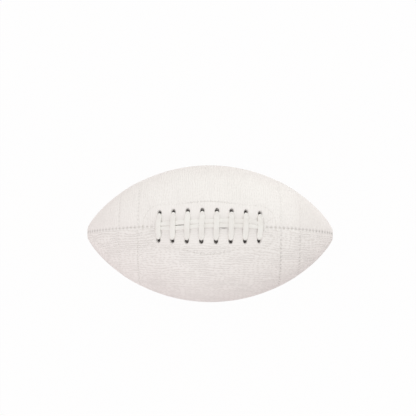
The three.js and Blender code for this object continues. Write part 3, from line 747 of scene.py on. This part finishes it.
def climb(x, hand):
    """Up from the inside, through a hole and over its near rim."""
    edge = hole_edge_at(x)
    x = slanted(x, hand * HOLE_ROW)
    route = []
    for share, sine, cosine in quarter_bend(INNER_BEND_STEPS):
        side = hand * (edge + BEND * sine)
        height = -FACING_INSIDE - BEND * cosine
        route.append(station(x, side, height, 0, between(FLAT, ROLLED, share)))
    for share, sine, cosine in quarter_bend(OUTER_BEND_STEPS):
        side = hand * (edge + BEND * cosine)
        size = between(ROLLED, FLAT_CROSS, LIP_SPREAD * share)
        route.append(station(x, side, CROSS_LIP * sine, 0, size))
    return route


def lying_cross(x, hand, strand_edge):
    """Where a cross lies on the leather, between the strands and its hole."""
    side = hand * (strand_edge + (hole_edge_at(x) - strand_edge) * LYING_SHARE)
    return station(slanted(x, side), side, STRAND_HEIGHT + LACE_FIT, 0, FLAT_CROSS)


def cross_over(index):
    x = CROSS_PLACES[index]
    at_end = index in (0, CROSSES - 1)
    clear = STRAND_SIDE + LACE_WIDTH / 2 + FIT
    left_edge = drift_at(x) + clear
    route = []
    for side in np.linspace(left_edge, -clear, CROSS_STATIONS):
        bow = math.copysign(END_CROSS_BOW * (1 - (side / hole_row_at(x)) ** 2), x) if at_end else 0
        height = CROSS_HEIGHT - (CROSS_SAG if abs(side) > STRAND_SIDE + FIT + STRAND_DRIFT / 2 else 0)
        route.append(station(slanted(x, side) + bow, side, height, 0, FLAT_CROSS))
    return [lying_cross(x, 1, left_edge)] + route + [lying_cross(x, -1, clear)]


def inside_diagonal(from_x, to_x):
    start = -(hole_row_at(from_x) - HOLE_RADIUS)
    finish = hole_row_at(to_x) - HOLE_RADIUS
    route = []
    for share in QUARTER_SHARES:
        x = from_x + (to_x - from_x) * share
        route.append(station(x, start + (finish - start) * share, -INSIDE_RUN, 0, FLAT))
    return route


def out_of_slit(end, hand):
    route = []
    for share, sine, cosine in quarter_bend(OUTER_BEND_STEPS):
        x = end * (SLIT_END - BEND * (1 - cosine))
        side = hand * (ROLLED_SIDE + (STRAND_SIDE - ROLLED_SIDE) * share / 2) + drift_at(x) * share / 2
        height = SLIT_BEND_HEIGHT + BEND * sine
        route.append(station(x, side, height, 1, between(ROLLED, FLAT, share / 2)))
    return route


def tucked_end(end, hand):
    side = hand * ROLLED_SIDE
    route = []
    for share in (1, 0.5):
        route.append(station(end * (SLIT_END + TUCK_LENGTH * share), side, -INSIDE_RUN, 1, FLAT))
    for _, sine, cosine in quarter_bend(INNER_BEND_STEPS):
        x = end * (SLIT_END + BEND * (1 - sine))
        route.append(station(x, side, -FACING_INSIDE - BEND * cosine, 1, ROLLED))
    return route


def fed_from_hole(end, hand):
    """From the inside run behind the last hole to the slit, turning from across to along."""
    x = end * SLIT_END
    halfway = (hole_row_at(x) - HOLE_RADIUS + ROLLED_SIDE + BEND) / 2
    route = [station(x, hand * halfway, -INSIDE_RUN, 0, FLAT)]
    for share, sine, cosine in quarter_bend(INNER_BEND_STEPS):
        side = hand * (ROLLED_SIDE + BEND * (1 - sine))
        height = -FACING_INSIDE - BEND * cosine
        route.append(station(x, side, height, 0, between(FLAT, ROLLED, share)))
    for share in QUARTER_SHARES:
        height = -FACING_INSIDE + (SLIT_BEND_HEIGHT + FACING_INSIDE) * share
        route.append(station(x, hand * ROLLED_SIDE, height, share, ROLLED))
    return route


def long_strand(hand):
    route = []
    for i in range(CROSSES - 1):
        middle = (CROSS_PLACES[i] + CROSS_PLACES[i + 1]) / 2
        for x in ([middle] if i == 0 else [CROSS_PLACES[i], middle]):
            side = hand * (LACE_WIDTH + strand_gap(x)) / 2 + drift_at(x)
            route.append(station(x, side, STRAND_HEIGHT, 1, FLAT))
    return route


def lace_route():
    """The whole lace: the left strand to the nose, the crosses back to the tail, the right strand."""
    route = tucked_end(-1, 1) + out_of_slit(-1, 1) + long_strand(1)
    route += out_of_slit(1, 1)[::-1] + fed_from_hole(1, 1)[::-1]
    for i in reversed(range(CROSSES)):
        x = CROSS_PLACES[i]
        route += climb(x, 1) + cross_over(i) + climb(x, -1)[::-1]
        if i > 0:
            route += inside_diagonal(x, CROSS_PLACES[i - 1])
    route += fed_from_hole(-1, -1) + out_of_slit(-1, -1) + long_strand(-1)
    return np.array(route + out_of_slit(1, -1)[::-1] + tucked_end(1, -1)[::-1])


def smooth_run(values, steps):
    """A curve through every row of values, with steps pieces between one row and the next."""
    padded = np.concatenate([2 * values[:1] - values[1:2], values, 2 * values[-1:] - values[-2:-1]])
    before, start, finish, after = padded[:-3], padded[1:-2], padded[2:-1], padded[3:]
    share = np.arange(steps)[:, None] / steps
    a, b, c, d = (part[:, None] for part in (before, start, finish, after))
    tangent_in, tangent_out = (c - a) / 2, (d - b) / 2
    curve = (2 * share**3 - 3 * share**2 + 1) * b + (share**3 - 2 * share**2 + share) * tangent_in
    curve = curve + (3 * share**2 - 2 * share**3) * c + (share**3 - share**2) * tangent_out
    return np.concatenate([curve.reshape(-1, values.shape[1]), values[-1:]])


def curved(values, power):
    return np.sign(values) * np.abs(values) ** power


def lace_section():
    """The lace's section from -1 to 1 each way: a flat underside, thin edges and a domed top."""
    round_angle = (np.arange(LACE_SIDES) + 0.5) * 2 * math.pi / LACE_SIDES
    is_top = np.sin(round_angle) > 0
    powers = [np.where(is_top, top, bottom) for top, bottom in zip(TOP_CURVE, BOTTOM_CURVE)]
    u = curved(np.cos(round_angle), powers[0])
    v = curved(np.sin(round_angle), powers[1])
    widest = 2 * LACE_EDGE - 1
    return u, widest + v * np.where(is_top, 1 - widest, 1 + widest)


def lace_piece(name):
    stations = lace_route()
    centres = surface_point(stations[:, 0], stations[:, 1], stations[:, 2])
    _, across, along = surface_axes(stations[:, 0], stations[:, 1])
    turn = stations[:, 3:4] * QUARTER
    wide = along * np.cos(turn) + across * np.sin(turn)
    fine = smooth_run(np.concatenate([centres, wide, stations[:, 4:6]], axis=1), LACE_STEPS)
    centre, wide, size = fine[:, :3], fine[:, 3:6], fine[:, 6:8]
    forward = unit(np.gradient(centre, axis=0))
    wide = unit(wide - forward * (wide * forward).sum(1, keepdims=True))
    thick = np.cross(forward, wide)
    u, v = lace_section()
    points = centre[:, None] + wide[:, None] * (u * size[:, :1] / 2)[..., None]
    points = points + thick[:, None] * (v * size[:, 1:] / 2)[..., None]
    rings = len(centre)
    raw_edge = np.clip((np.abs(u) - RAW_FROM) / RAW_RAMP, 0, 1)
    faces = tube_faces(rings, LACE_SIDES)
    return add_mesh(name, points.reshape(-1, 3), faces, soil=np.tile(raw_edge, rings))


# Valve
def revolved(name, profile):
    """A profile of radius and height turned round the valve's axis; height 0 is the outside of the ball."""
    profile = np.array(profile)
    round_angle = np.arange(VALVE_SIDES) * 2 * math.pi / VALVE_SIDES
    x = profile[:, None, 0] * np.cos(round_angle)
    y = profile[:, None, 0] * np.sin(round_angle)
    z = profile[:, None, 1] + BELLY
    turned_y = y * math.cos(VALVE_ANGLE) + z * math.sin(VALVE_ANGLE)
    turned_z = z * math.cos(VALVE_ANGLE) - y * math.sin(VALVE_ANGLE)
    points = np.stack([x, turned_y, turned_z], -1)
    here = np.arange(len(profile) * VALVE_SIDES).reshape(-1, VALVE_SIDES)
    after = np.roll(here, -1, axis=1)
    faces = np.stack([here, after, np.roll(after, -1, axis=0), np.roll(here, -1, axis=0)], -1)
    return add_mesh(name, points.reshape(-1, 3), faces.reshape(-1, 4), sharp_angle=35.0)


def valve_stem(name):
    face = -VALVE_SINK
    profile = [
        (VALVE_BORE_RADIUS, -VALVE_LENGTH),
        (VALVE_STEM_RADIUS, -VALVE_LENGTH),
        (VALVE_STEM_RADIUS, face - VALVE_ROUND),
        (VALVE_STEM_RADIUS - VALVE_OUTER_ROUND[0], face - VALVE_SHOULDER),
        (VALVE_STEM_RADIUS - VALVE_OUTER_ROUND[1], face),
        (VALVE_BORE_RADIUS + VALVE_INNER_ROUND[1], face),
        (VALVE_BORE_RADIUS + VALVE_INNER_ROUND[0], face - VALVE_SHOULDER),
        (VALVE_BORE_RADIUS, face - VALVE_ROUND),
    ]
    return revolved(name, profile)


def valve_core(name):
    """The plug, with the funnel and the hole for a needle."""
    radius = VALVE_BORE_RADIUS - FIT
    face = -VALVE_SINK - PLUG_SINK
    profile = [
        (NEEDLE_TIP, -VALVE_LENGTH),
        (radius, -VALVE_LENGTH),
        (radius, face - PLUG_BEVEL[1]),
        (radius - PLUG_BEVEL[0], face),
        (NEEDLE_RADIUS + NEEDLE_FUNNEL, face),
        (NEEDLE_RADIUS, face - NEEDLE_FUNNEL),
        (NEEDLE_RADIUS, face - NEEDLE_DEPTH),
        (NEEDLE_TIP, face - NEEDLE_DEPTH - NEEDLE_TAPER),
    ]
    return revolved(name, profile)


# Materials
WHITE = (0.87, 0.85, 0.83, 1.0)
WHITE_SHADE = (0.84, 0.815, 0.795, 1.0)
# Painted shade in the creases of the grain
CREASE_SHADE = (0.66, 0.625, 0.60, 1.0)
# Dark colour for dirt and for painted shade in holes, pits and needle holes
SOIL_AND_SHADE = (0.09, 0.08, 0.075, 1.0)
LACE_WHITE = (0.828, 0.82, 0.792, 1.0)
LACE_SHADE = (0.79, 0.773, 0.745, 1.0)
LACE_RAW = (0.85, 0.82, 0.77, 1.0)
FULL_SPAN = (0.0, 1.0)
MIDDLE_SPAN = (0.35, 0.65)  # the values that a noise takes most
WIDE_SPAN = (0.3, 0.7)
BLOTCH_SPAN = (0.4, 0.62)
EDGE_SPAN = (0.4, 0.6)
DUST_SPAN = (0.4, 0.7)
GRAIN_WARP = (1.6, 1.6, 0.0)  # in pebbles
GRAIN_SWIRL = (4.0, 4.0, 0.0)
PEBBLE_SPAN = (0.0, 0.36)
CREASE_SHADE_SPAN = (0.0, 0.6)
PEBBLE_SHARE = 0.45
RIDGE_SHARE = 0.55
PORE_SHARE = 0.2
LEAST_GRAIN = 0.75  # where the hide is worn
CALM_GRAIN = 0.4  # where it is drawn flat
ROUGHNESS_SPREAD = 0.06
LACE_ROUGHNESS = (0.42, 0.6)
LACE_RAWNESS = (0.1, 0.6)
DUST_ROUGHNESS = 0.15


def add_node(tree, kind, settings=None, **inputs):
    """A shader node; an input's name has _ for a space, and in0 is the first input."""
    node = tree.nodes.new("ShaderNode" + kind)
    for name, value in (settings or {}).items():
        setattr(node, name, value)
    for name, value in inputs.items():
        key = int(name[2:]) if name.startswith("in") and name[2:].isdigit() else name.replace("_", " ")
        if isinstance(value, bpy.types.NodeSocket):
            tree.links.new(value, node.inputs[key])
        else:
            node.inputs[key].default_value = value
    return node


def empty_tree(owner):
    owner.use_nodes = True
    owner.node_tree.nodes.clear()
    return owner.node_tree


def new_material(name, **constants):
    material = bpy.data.materials.new(name)
    tree = empty_tree(material)
    shader = add_node(tree, "BsdfPrincipled", **constants)
    add_node(tree, "OutputMaterial", Surface=shader.outputs["BSDF"])
    place = add_node(tree, "TexCoord").outputs["Object"]
    return material, tree, shader, place


def finish_shader(tree, shader, colour, height, relief, strength, rough=None):
    """Gives a shader its colour, its relief, in millimetres, and its roughness."""
    bump = add_node(tree, "Bump", Strength=strength, Distance=relief * MM, Height=height)
    tree.links.new(colour, shader.inputs["Base Color"])
    if rough is not None:
        tree.links.new(rough, shader.inputs["Roughness"])
    tree.links.new(bump.outputs["Normal"], shader.inputs["Normal"])


def mix_colour(tree, factor, first, second):
    node = add_node(tree, "Mix", {"data_type": "RGBA"}, in0=factor, in6=first, in7=second)
    return node.outputs[2]


def remap(tree, value, span, to=FULL_SPAN):
    node = add_node(
        tree, "MapRange", Value=value, From_Min=span[0], From_Max=span[1], To_Min=to[0], To_Max=to[1]
    )
    return node.outputs["Result"]


def maths(tree, operation, first, second):
    return add_node(tree, "Math", {"operation": operation}, in0=first, in1=second).outputs[0]


def noise(tree, place, size, detail=2.0):
    """A noise of about size millimetres."""
    return add_node(tree, "TexNoise", Vector=place, Scale=1000 / size, Detail=detail).outputs["Fac"]


def layer(tree, title, output="Fac"):
    return add_node(tree, "Attribute", {"attribute_name": title}).outputs[output]


def moved(tree, place, by, reach):
    node = add_node(tree, "VectorMath", {"operation": "MULTIPLY_ADD"}, in0=by, in1=reach, in2=place)
    return node.outputs[0]


def bands(tree, axis, place, scale, distortion):
    way = {"bands_direction": axis}
    node = add_node(tree, "TexWave", way, Vector=place, Scale=scale, Distortion=distortion)
    return node.outputs["Fac"]


def leather(name, ridge_axis, grain_height, crease_shade, roughness):
    """Grained leather: warped pebbles in wavy ridges, creases with painted shade, cloudy colour, and dirt
    and painted shade in the pits.
    """
    material, tree, shader, place = new_material(name, Specular_IOR_Level=0.12)
    hide = layer(tree, "grain", "Vector")
    warp = add_node(tree, "TexNoise", Vector=hide, Scale=0.35, Detail=2.0).outputs["Color"]
    warped = moved(tree, hide, warp, GRAIN_WARP)
    kind = {"feature": "DISTANCE_TO_EDGE", "voronoi_dimensions": "2D"}
    pebble = add_node(tree, "TexVoronoi", kind, Vector=warped, Scale=1.0, Randomness=0.7)
    dome = remap(tree, pebble.outputs["Distance"], PEBBLE_SPAN)
    swirl = add_node(tree, "TexNoise", Vector=hide, Scale=0.1, Detail=1.0).outputs["Color"]
    ridge = bands(tree, ridge_axis, moved(tree, warped, swirl, GRAIN_SWIRL), scale=0.3, distortion=1.5)
    pebble_part = maths(tree, "MULTIPLY", dome, PEBBLE_SHARE)
    ridge_part = maths(tree, "MULTIPLY", ridge, RIDGE_SHARE)
    grain = maths(tree, "ADD", pebble_part, ridge_part)
    pores = add_node(tree, "TexNoise", Vector=hide, Scale=3.5, Detail=2.0).outputs["Fac"]
    height = maths(tree, "ADD", grain, maths(tree, "MULTIPLY", pores, PORE_SHARE))
    wear = noise(tree, place, size=45.0, detail=3.0)
    showing = remap(tree, wear, MIDDLE_SPAN, (LEAST_GRAIN, 1.0))
    lively = remap(tree, layer(tree, "calm"), FULL_SPAN, (1.0, CALM_GRAIN))
    strength = maths(tree, "MULTIPLY", showing, lively)
    clouds = remap(tree, noise(tree, place, size=60.0, detail=4.0), MIDDLE_SPAN)
    tone = mix_colour(tree, clouds, WHITE, WHITE_SHADE)
    # Painted shade in the grain's creases, darker where the grain is low.
    crease_shading = maths(tree, "MULTIPLY", remap(tree, grain, CREASE_SHADE_SPAN, (crease_shade, 0.0)), lively)
    crease_shaded = mix_colour(tree, crease_shading, tone, CREASE_SHADE)
    # Dirt and painted shade: needle holes, seam pits, hole rims and the walls of holes are darkened here.
    soiled = mix_colour(tree, layer(tree, "soil"), crease_shaded, SOIL_AND_SHADE)
    rough = remap(tree, pores, WIDE_SPAN, (roughness - ROUGHNESS_SPREAD, roughness + ROUGHNESS_SPREAD))
    finish_shader(tree, shader, soiled, height, grain_height, strength, rough)
    return material


def split_leather(name, colour, fibre):
    """The rough inner side of a hide."""
    material, tree, shader, place = new_material(name, Roughness=0.85, Sheen_Weight=0.2)
    nap = noise(tree, place, size=0.9, detail=4.0)
    tone = mix_colour(tree, remap(tree, nap, MIDDLE_SPAN), colour, fibre)
    finish_shader(tree, shader, tone, nap, relief=0.2, strength=0.8)
    return material


def lace_leather(name):
    """Smooth thong with fine creases and raw, yellower edges."""
    material, tree, shader, place = new_material(name, Specular_IOR_Level=0.4)
    creases = noise(tree, place, size=1.6, detail=3.0)
    blotch = remap(tree, noise(tree, place, size=14.0, detail=3.0), BLOTCH_SPAN)
    top = mix_colour(tree, blotch, LACE_WHITE, LACE_SHADE)
    rawness = remap(tree, noise(tree, place, size=9.0), EDGE_SPAN, LACE_RAWNESS)
    raw = maths(tree, "MULTIPLY", layer(tree, "soil"), rawness)
    rough = remap(tree, creases, WIDE_SPAN, LACE_ROUGHNESS)
    tone = mix_colour(tree, raw, top, LACE_RAW)
    finish_shader(tree, shader, tone, creases, relief=0.12, strength=0.6, rough=rough)
    return material


def twisted_thread(name, colour, shade):
    material, tree, shader, place = new_material(name, Roughness=0.6, Sheen_Weight=0.2)
    ply = bands(tree, "DIAGONAL", place, scale=400.0, distortion=1.0)
    finish_shader(tree, shader, mix_colour(tree, ply, shade, colour), ply, relief=0.12, strength=0.7)
    return material


def woven_cloth(name, colour, shade):
    material, tree, shader, place = new_material(name, Roughness=0.9, Sheen_Weight=0.3)
    yarns = (bands(tree, axis, place, scale=330.0, distortion=0.5) for axis in ("X", "Y"))
    weave = maths(tree, "MULTIPLY", *yarns)
    finish_shader(tree, shader, mix_colour(tree, weave, shade, colour), weave, relief=0.2, strength=0.8)
    return material


def rubber(name, colour, dusty, roughness):
    material, tree, shader, place = new_material(name)
    grit = noise(tree, place, size=0.6, detail=4.0)
    dust = remap(tree, noise(tree, place, size=8.0, detail=4.0), DUST_SPAN)
    rough = remap(tree, dust, FULL_SPAN, (roughness, roughness + DUST_ROUGHNESS))
    tone = mix_colour(tree, dust, colour, dusty)
    finish_shader(tree, shader, tone, grit, relief=0.05, strength=0.35, rough=rough)
    return material


def paint(piece, material):
    piece.data.materials.clear()
    piece.data.materials.append(material)


def dress(piece, material, slot, *nodes):
    """Gives a piece its material and body, and hides the frame's nodes that it stands for. The slot is not
    used.
    """
    paint(piece, material)
    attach(piece, "root")
    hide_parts(*nodes)


# The right-hand pieces get stronger painted shade in their creases than the left-hand ones, whose grain
# shows less under the light.
left_leather = leather("left_leather", "X", grain_height=0.3, crease_shade=0.25, roughness=0.58)
right_leather = leather("right_leather", "Y", grain_height=0.5, crease_shade=0.62, roughness=0.58)
left_stripe = leather("left_stripe", "X", grain_height=0.3, crease_shade=0.25, roughness=0.54)
right_stripe = leather("right_stripe", "Y", grain_height=0.45, crease_shade=0.62, roughness=0.54)
thong_leather = lace_leather("lace_leather")
white_thread = twisted_thread("white_thread", (0.84, 0.82, 0.78, 1.0), (0.66, 0.63, 0.58, 1.0))
# The split leather and the lining are coloured paler than they really are: painted light that brightens the
# inside of the lace holes.
inner_leather = split_leather("inner_leather", (0.66, 0.63, 0.61, 1.0), (0.76, 0.73, 0.71, 1.0))
lining_cloth = woven_cloth("lining_cloth", (0.72, 0.69, 0.67, 1.0), (0.55, 0.53, 0.51, 1.0))
bladder_rubber = rubber("bladder_rubber", (0.20, 0.19, 0.18, 1.0), (0.27, 0.26, 0.245, 1.0), 0.55)
valve_rubber = rubber("valve_rubber", (0.66, 0.62, 0.56, 1.0), (0.55, 0.51, 0.46, 1.0), 0.5)

# Pieces
PANELS = {
    "lace_panel_left": (0, 1),
    "lace_panel_right": (0, -1),
    "back_panel_left": (2, -1),
    "back_panel_right": (2, 1),
}
for node, (seam, hand) in PANELS.items():
    hide = left_leather if "left" in node else right_leather
    dress(panel(node + "_leather", seam, hand), hide, "panel_leather", node)

for side_name, hand in (("left", 1), ("right", -1)):
    for end_name, end in (("nose", 1), ("tail", -1)):
        node = f"stripe_{side_name}_{end_name}"
        hide = left_stripe if side_name == "left" else right_stripe
        dress(stripe(node + "_leather", hand, end), hide, "stripe_leather", node)
        rows = row_stitches(node + "_stitches", stripe_paths(hand, end), STRIPE_ROW, height=0.0)
        dress(rows, white_thread, "seam_thread")
    facing_name = f"facing_stitches_{side_name}"
    rows = row_stitches(facing_name, facing_paths(hand), FACING_ROW, FACING_STITCH_HEIGHT)
    dress(rows, white_thread, "seam_thread")

dress(lace_piece("lace_thong"), thong_leather, "lace_leather", "lace")

SEAMS = {
    "lace_seam_thread_nose": (0, SEAM_START, SEAM_STOP),
    "lace_seam_thread_tail": (0, -SEAM_STOP, -SEAM_START),
    "side_seam_thread_left": (1, -SEAM_STOP, SEAM_STOP),
    "back_seam_thread": (2, -SEAM_STOP, SEAM_STOP),
    "side_seam_thread_right": (3, -SEAM_STOP, SEAM_STOP),
}
for node, (seam, low, high) in SEAMS.items():
    stitches = seam_stitches(node.replace("thread", "stitches"), seam, low, high)
    dress(stitches, white_thread, "seam_thread", node)

dress(valve_stem("valve_stem"), valve_rubber, "valve_rubber", "valve_housing")
dress(valve_core("valve_core"), valve_rubber, "valve_rubber", "valve_plug")

for node in ("lace_facing_left", "lace_facing_right", "tongue"):
    paint(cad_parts[node], inner_leather)
for node in ("lace_lining_left", "lace_lining_right", "back_lining_left", "back_lining_right"):
    paint(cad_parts[node], lining_cloth)
paint(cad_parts["bladder"], bladder_rubber)

# Floor, lights and camera, in metres
FLOOR_HEIGHT = -BELLY * MM
FLOOR_REACH = 6.0
FLOOR_MATTE = (0.72, 0.62, 0.635, 1.0)
FLOOR_WHITENESS = 0.97
PURE_WHITE = (1.0, 1.0, 1.0, 1.0)
FILL_LEVEL = 0.79
FILL_COLOUR = (0.998, 0.99, 0.972, 1.0)

floor_mesh = bpy.data.meshes.new("floor")
corners = ((-1, -1), (1, -1), (1, 1), (-1, 1))
floor_points = [(FLOOR_REACH * x, FLOOR_REACH * y, FLOOR_HEIGHT) for x, y in corners]
floor_mesh.from_pydata(floor_points, [], [range(4)])
floor = bpy.data.objects.new("floor", floor_mesh)
scene.collection.objects.link(floor)
floor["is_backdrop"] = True


def seen_directly(tree):
    path = add_node(tree, "LightPath")
    seen = maths(tree, "MAXIMUM", path.outputs["Is Camera Ray"], path.outputs["Is Glossy Ray"])
    return maths(tree, "MAXIMUM", seen, path.outputs["Is Transmission Ray"])


def mix_shaders(tree, share, first, second):
    node = add_node(tree, "MixShader", in0=share, in1=first.outputs[0], in2=second.outputs[0])
    return node.outputs[0]


def white_floor():
    """Looks white, with a faint shadow; lights the ball as a pale matte floor."""
    material = bpy.data.materials.new("floor")
    tree = empty_tree(material)
    matte = add_node(tree, "BsdfDiffuse", Color=FLOOR_MATTE)
    bright = add_node(tree, "Emission", Color=PURE_WHITE, Strength=1.0)
    share = maths(tree, "MULTIPLY", seen_directly(tree), FLOOR_WHITENESS)
    add_node(tree, "OutputMaterial", Surface=mix_shaders(tree, share, matte, bright))
    return material


floor.data.materials.append(white_floor())

world = bpy.data.worlds.new("studio")
scene.world = world
world_tree = empty_tree(world)
fill = add_node(world_tree, "Background", Color=FILL_COLOUR, Strength=FILL_LEVEL)
backdrop = add_node(world_tree, "Background", Color=PURE_WHITE, Strength=1.0)
chosen = mix_shaders(world_tree, seen_directly(world_tree), fill, backdrop)
add_node(world_tree, "OutputWorld", Surface=chosen)


def soft_light(name, place, size, power, colour):
    lamp = bpy.data.lights.new(name, "AREA")
    lamp.size = size
    lamp.energy = power
    lamp.color = colour
    light = bpy.data.objects.new(name, lamp)
    light.location = place
    light.rotation_euler = (-Vector(place)).to_track_quat("-Z", "Y").to_euler()
    scene.collection.objects.link(light)


soft_light("key", place=(0.25, 1.7, 0.2), size=1.0, power=9.0, colour=(0.93, 1.0, 0.95))
soft_light("left", place=(-1.0, -0.7, 1.1), size=2.2, power=9.0, colour=(1.0, 0.915, 0.935))
soft_light("right", place=(1.3, 0.15, 0.8), size=1.4, power=4.1, colour=(1.0, 0.985, 0.97))

PHOTO_SIZE = 416
CAMERA_DISTANCE = 1.2
CAMERA_ELEVATION = math.radians(83.5)
CAMERA_ROLL = math.radians(0.45)
CAMERA_LEAN = math.radians(0.7)
VIEW_WIDTH = 0.4756
BALL_PIXEL = (209.95, 233.7)
SENSOR = 36.0

camera_data = bpy.data.cameras.new("camera")
camera_data.sensor_width = SENSOR
camera_data.lens = SENSOR * CAMERA_DISTANCE / VIEW_WIDTH
camera_data.shift_x = (PHOTO_SIZE / 2 - BALL_PIXEL[0]) / PHOTO_SIZE
camera_data.shift_y = (BALL_PIXEL[1] - PHOTO_SIZE / 2) / PHOTO_SIZE
camera = bpy.data.objects.new("camera", camera_data)
back = Vector((0, -math.cos(CAMERA_ELEVATION), math.sin(CAMERA_ELEVATION)))
turned_camera = back.to_track_quat("Z", "Y").to_matrix().to_4x4() @ Matrix.Rotation(CAMERA_ROLL, 4, "Z")
leaning = Matrix.Rotation(CAMERA_LEAN, 4, "Y")
camera.matrix_world = leaning @ Matrix.Translation(back * CAMERA_DISTANCE) @ turned_camera
scene.collection.objects.link(camera)
scene.camera = camera
scene.view_settings.view_transform = "Standard"

low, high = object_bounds()
